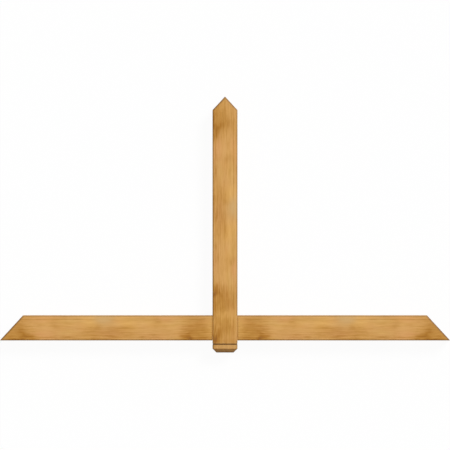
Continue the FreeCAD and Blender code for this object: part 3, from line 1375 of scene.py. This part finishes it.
    def ring_count(self, recipe: Recipe, plank: Socket, figure: Figure) -> Socket:
        """Counts the growth rings as the figure does, with a fine wander of its own.

        Args:
            recipe: the material.
            plank: the plank place.
            figure: the wood's rings.

        Returns:
            The number of rings between the pith and the place.
        """
        place = recipe.add("SeparateXYZ", {"Vector": plank})
        turn = recipe.math("MULTIPLY", place.outputs["X"], 2 * math.pi / figure.sway_length)
        swing = recipe.math("MULTIPLY_ADD", recipe.math("SINE", turn), figure.sway[0], figure.pith_across)
        depth = recipe.math("MULTIPLY_ADD", recipe.math("COSINE", turn), figure.sway[1], figure.pith_deep)
        across = recipe.math("SUBTRACT", place.outputs["Y"], swing)
        deep = recipe.math("SUBTRACT", place.outputs["Z"], depth)
        offset = recipe.add("CombineXYZ", {"Y": across, "Z": deep}).outputs["Vector"]
        distance = recipe.vector("LENGTH", offset, output="Value")
        wander = recipe.noise(plank, self.grain.wander).outputs[0]
        count = recipe.total((distance, 1 / figure.ring_pitch), (wander, self.ring_wander))
        for knot in MARKS[MarkKind.KNOT]:
            count = recipe.math("MULTIPLY_ADD", self.spot(recipe, plank, knot), figure.knot_bend, count)
        return count

    def tone(self, recipe: Recipe, plank: Socket, patterns: Patterns) -> Socket:
        """Adds up how light or dark the stained wood is, from 0 to 1 with plain wood at one half.

        Args:
            recipe: the material.
            plank: the plank place.
            patterns: the shared patterns.

        Returns:
            The tone.
        """
        wear = recipe.noise(plank, self.grain.wear, detail=3.0).outputs[0]
        worn = recipe.math("MULTIPLY", recipe.band(wear, *self.wear_range), patterns["stain_shade_and_light"], clamp=True)
        noises = self.streak_contrast + self.fibre_contrast + self.cloud_contrast
        middle = 0.5 - 0.5 * noises + self.mean_late * self.ring_contrast - self.painted_light_lean_start * self.painted_light_lean
        swing = recipe.math("SUBTRACT", recipe.math("ADD", patterns["streak"], patterns["fibre"]), 1.0)
        calm = recipe.total((patterns["shade"], self.shade_calm), (patterns["end"], -self.end_calm))
        tone = recipe.total(
            (patterns["late"], -self.ring_contrast),
            (patterns["streak"], self.streak_contrast),
            (patterns["fibre"], self.fibre_contrast),
            # Painted light: lighter towards a beam's top and the post's right side, the key light's side.
            (patterns["cloud"], self.cloud_contrast),
            (patterns["across"], self.painted_light_lean),
            (patterns["pore"], -self.pore_contrast),
            (patterns["end"], -self.end_grain),
            (worn, self.scuff),
            (patterns["knot"], 1.0),
            (patterns["shade"], 1.0),
            (recipe.math("MULTIPLY", swing, calm), 1.0),
            (recipe.math("MULTIPLY", patterns["late"], patterns["end"]), -self.end_rings),
        )
        return recipe.math("ADD", tone, middle, clamp=True)

    def colour(self, recipe: Recipe, tone: Socket, patterns: Patterns) -> Socket:
        """Turns the tone into a colour, tints it where the wood is greyer, pinker or yellower, and paints
        shade and light on it.

        Args:
            recipe: the material.
            tone: how light the wood is.
            patterns: the shared patterns.

        Returns:
            The base colour.
        """
        shades = (self.knot, self.dark, self.honey, self.pale, self.bleached)
        colour = recipe.ramp(tone, *zip((0.0, 0.25, 0.5, 0.75, 1.0), shades))
        hue = recipe.add("SeparateXYZ", {"Vector": patterns["hue"]})
        tints = ((self.rosy, patterns["rose"]), (self.golden, patterns["gold"]), (self.olive, 0.0))
        for channel, (tint, marked) in zip("XYZ", tints):
            patch = recipe.band(hue.outputs[channel], tint.start, self.tint_full)
            share = recipe.math("MULTIPLY_ADD", patch, tint.share, marked)
            colour = recipe.mix(share, colour, tint.colour, "MULTIPLY")
        colour = recipe.mix(patterns["grey"], colour, self.greyed)
        # Gathered stain and painted shade at the edges, in the groove and at the foot.
        colour = recipe.mix(patterns["stain_shade_and_light"], colour, self.stain_and_shade_colour, "MULTIPLY")
        # Painted light in the seams beside the beams, over the shaded crevice.
        seam = recipe.math("MULTIPLY", patterns["stain_shade_and_light"], -1.0)
        colour = recipe.mix(seam, colour, self.seam_painted_light, "MULTIPLY")
        return recipe.mix(patterns["raw"], colour, self.raw)

    def surface(self, recipe: Recipe, colour: Socket, patterns: Patterns) -> None:
        """Finishes the material: a satin surface with the grain in its gloss and in its relief.

        Args:
            recipe: the material.
            colour: the base colour.
            patterns: the shared patterns.
        """
        roughness = recipe.total(*((patterns[name], weight) for name, weight in self.roughness_terms))
        height = recipe.total(*((patterns[name], weight) for name, weight in self.relief_terms))
        relief = {"Strength": self.relief_strength, "Distance": self.relief_height, "Height": height}
        satin = {
            "Base Color": colour,
            "Roughness": recipe.math("ADD", roughness, self.roughness),
            "Normal": recipe.add("Bump", relief).outputs["Normal"],
            "Specular IOR Level": self.specular,
            "Coat Weight": self.coat,
            "Coat Roughness": self.coat_roughness,
        }
        shader = recipe.add("BsdfPrincipled", satin)
        recipe.add("OutputMaterial", {"Surface": shader.outputs["BSDF"]})


@dataclass(frozen=True)
class PaleFloor:
    """Matt white floor that looks plain white and keeps a faint shadow.

    Attributes:
        colour: colour of the floor.
        speck: colour of its fine specks.
        speck_share: how strong the specks are at most.
        speck_cells: how many specks there are in a metre.
        glow: share of plain white that the camera sees in place of the lit floor.
    """

    colour: Colour = (0.93, 0.93, 0.93, 1.0)
    speck: Colour = (0.90, 0.90, 0.90, 1.0)
    speck_share: float = 0.02
    speck_cells: float = 40.0
    glow: float = 0.95

    def dress(self, piece: bpy.types.Object) -> None:
        """Makes the floor's material and puts it on.

        Args:
            piece: the floor.
        """
        recipe = Recipe("pale_floor")
        place = recipe.add("TexCoord").outputs["Object"]
        specks = recipe.add("TexNoise", {"Vector": place, "Scale": self.speck_cells, "Detail": 2.0})
        share = recipe.math("MULTIPLY", specks.outputs[0], self.speck_share)
        tint = recipe.mix(share, self.colour, self.speck)
        matt = recipe.add("BsdfDiffuse", {"Color": tint})
        white = recipe.add("Emission", {"Color": (1.0, 1.0, 1.0, 1.0), "Strength": 1.0})
        seen = recipe.math("MULTIPLY", seen_directly(recipe), self.glow)
        floor = recipe.add("MixShader", {0: seen, 1: matt.outputs[0], 2: white.outputs[0]})
        recipe.add("OutputMaterial", {"Surface": floor.outputs[0]})
        piece.data.materials.append(recipe.material)


def seen_directly(recipe: Recipe) -> Socket:
    """Tells the camera's view, direct or in a mirror or glass, from all other light.

    Args:
        recipe: the material.

    Returns:
        1 for the camera's view and 0 for other light.
    """
    path = recipe.add("LightPath")
    mirrored = recipe.math("MAXIMUM", path.outputs["Is Glossy Ray"], path.outputs["Is Transmission Ray"])
    return recipe.math("MAXIMUM", path.outputs["Is Camera Ray"], mirrored)


# ---------------------------------------------------------------------------------------------------
# The studio
# ---------------------------------------------------------------------------------------------------


@dataclass
class Studio:
    """Pale floor, soft light from the upper right and a camera straight above the show face.

    Attributes:
        show_face: height of the show face over the floor.
        framed_width: width of the picture at the show face.
        centre: X and Y of the picture's middle.
        lens: focal length, long so that the picture is as good as flat.
        sensor: width of the film.
        floor_size: side of the floor.
        floor_lines: grid lines of the floor in each direction.
        floor_gap: how far the floor is below the back of the bracket.
        key_direction: where the key light comes from.
        key_strength: strength of the key light.
        key_spread: angle that the key light fills, in degrees.
        sky_strength: strength of the even light from all round.
    """

    show_face: float
    framed_width: float
    centre: Span = (0.0, -0.0018)
    lens: float = 600.0
    sensor: float = 36.0
    floor_size: float = 60.0
    floor_lines: int = 9
    floor_gap: float = 0.0004
    key_direction: Vector3 = (0.55, 0.60, 1.00)
    key_strength: float = 2.20
    key_spread: float = 20.0
    sky_strength: float = 0.54

    def build(self) -> None:
        """Builds floor, light and camera."""
        self.build_floor()
        self.build_key()
        self.build_sky()
        self.build_camera()

    def build_floor(self) -> None:
        """Lays a flat grid just under the back of the bracket."""
        side = np.linspace(-self.floor_size / 2, self.floor_size / 2, self.floor_lines)
        x, y = np.meshgrid(side, side, indexing="ij")
        points = np.dstack([x, y, np.full_like(x, -self.floor_gap)])
        numbers = np.arange(x.size).reshape(x.shape)
        mesh = bpy.data.meshes.new("floor")
        mesh.from_pydata(points.reshape(-1, 3), [], Patch(numbers, Lane.SHOW_FACE).quads(numbers))
        floor = bpy.data.objects.new("floor", mesh)
        bpy.context.scene.collection.objects.link(floor)
        PaleFloor().dress(floor)

    def build_key(self) -> None:
        """Hangs a broad sun to the upper right."""
        lamp = bpy.data.lights.new("key", "SUN")
        lamp.energy = self.key_strength
        lamp.angle = math.radians(self.key_spread)
        key = bpy.data.objects.new("key", lamp)
        key.rotation_euler = mathutils.Vector(self.key_direction).to_track_quat("Z", "Y").to_euler()
        bpy.context.scene.collection.objects.link(key)

    def build_sky(self) -> None:
        """Fills in with even white light and shows plain white behind everything."""
        world = bpy.data.worlds.new("sky")
        world.use_nodes = True
        bpy.context.scene.world = world
        nodes, links = world.node_tree.nodes, world.node_tree.links
        nodes.clear()
        path = nodes.new("ShaderNodeLightPath")
        background = nodes.new("ShaderNodeBackground")
        output = nodes.new("ShaderNodeOutputWorld")
        strength: Socket | None = None
        for ray in ("Is Camera Ray", "Is Glossy Ray", "Is Transmission Ray"):
            largest = nodes.new("ShaderNodeMath")
            largest.operation = "MAXIMUM"
            links.new(path.outputs[ray], largest.inputs[0])
            largest.inputs[1].default_value = self.sky_strength
            if strength is not None:
                links.new(strength, largest.inputs[1])
            strength = largest.outputs[0]
        links.new(strength, background.inputs["Strength"])
        links.new(background.outputs[0], output.inputs["Surface"])

    def build_camera(self) -> None:
        """Hangs the camera as high as its lens needs to take in the framed width."""
        film = bpy.data.cameras.new("camera")
        film.lens = self.lens
        film.sensor_width = self.sensor
        distance = self.framed_width * self.lens / self.sensor
        film.clip_start, film.clip_end = 0.01 * distance, 4.0 * distance
        camera = bpy.data.objects.new("camera", film)
        camera.location = (*self.centre, self.show_face + distance)
        bpy.context.scene.collection.objects.link(camera)
        bpy.context.scene.camera = camera


def main() -> None:
    """Builds the three timbers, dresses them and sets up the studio."""
    logging.basicConfig(level=logging.INFO, format="%(name)s: %(message)s")
    figure = Figure()
    stain = HoneyStain()
    timbers: list[Timber] = [
        KingPost("king_post", figure, seed=11),
        HalfBeam("left_beam", figure, seed=23, mirrored=True),
        HalfBeam("right_beam", figure, seed=37),
    ]
    for timber in timbers:
        piece = timber.build()
        stain.dress(piece, timber)
        log.info("%s: %d faces, stands for %s", piece.name, len(piece.data.polygons), timber.node)
    low, high = CAD_BOX
    Studio(show_face=high.z, framed_width=(high.x - low.x) * FRAMED_SHARE).build()
    bpy.context.scene.view_settings.view_transform = "Standard"


if __name__ == "__main__":
    main()
